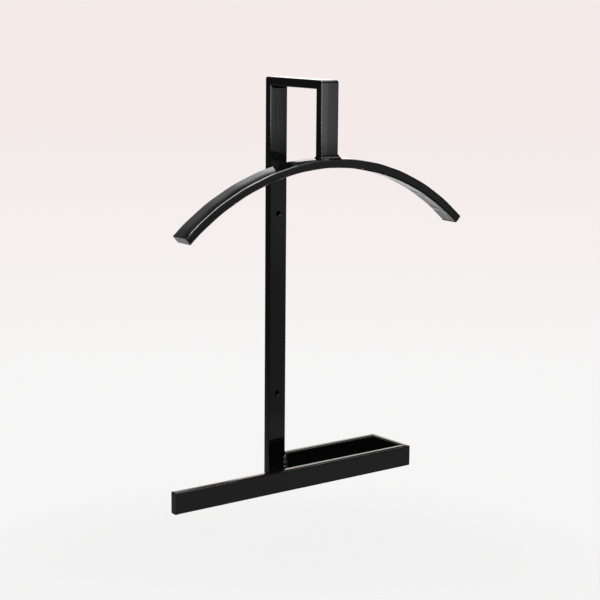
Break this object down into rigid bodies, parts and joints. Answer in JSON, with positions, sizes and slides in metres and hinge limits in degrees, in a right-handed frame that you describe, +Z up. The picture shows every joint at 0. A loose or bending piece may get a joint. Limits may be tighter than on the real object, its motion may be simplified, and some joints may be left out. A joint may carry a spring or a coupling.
{
  "type": "coat rack",
  "caption": "Wall-mounted valet coat rack of welded rectangular steel tube: an upright with a forward arm, a bowed jacket hanger and a low trouser rail.",
  "frame": {"origin": "on the wall, on the upright's centre line, midway between its two screw holes", "axes": "+Z up along the upright, +Y into the wall, +X to the right along the wall as seen from the room"},
  "size_m": [0.3888, 0.113, 0.4745],
  "materials": {
    "black_enamel": "gloss black enamel on steel tube",
    "weld_enamel": "the same black enamel over weld metal, a little duller"
  },
  "bodies": {
    "root": {"wall_upright": "black_enamel", "upright_foot_cap": "black_enamel", "top_arm": "black_enamel", "drop_post": "black_enamel", "hanger_bow": "black_enamel", "hanger_cap_left": "black_enamel", "hanger_cap_right": "black_enamel", "front_rail": "black_enamel", "front_rail_cap": "black_enamel", "rail_return": "black_enamel", "rear_rail": "black_enamel", "drop_post_weld": "weld_enamel", "arm_rear_weld": "weld_enamel", "arm_front_weld": "weld_enamel", "rail_front_corner_weld": "weld_enamel", "rail_rear_corner_weld": "weld_enamel", "rear_rail_bead": "weld_enamel", "rear_rail_top_weld": "weld_enamel"}
  },
  "joints": []
}
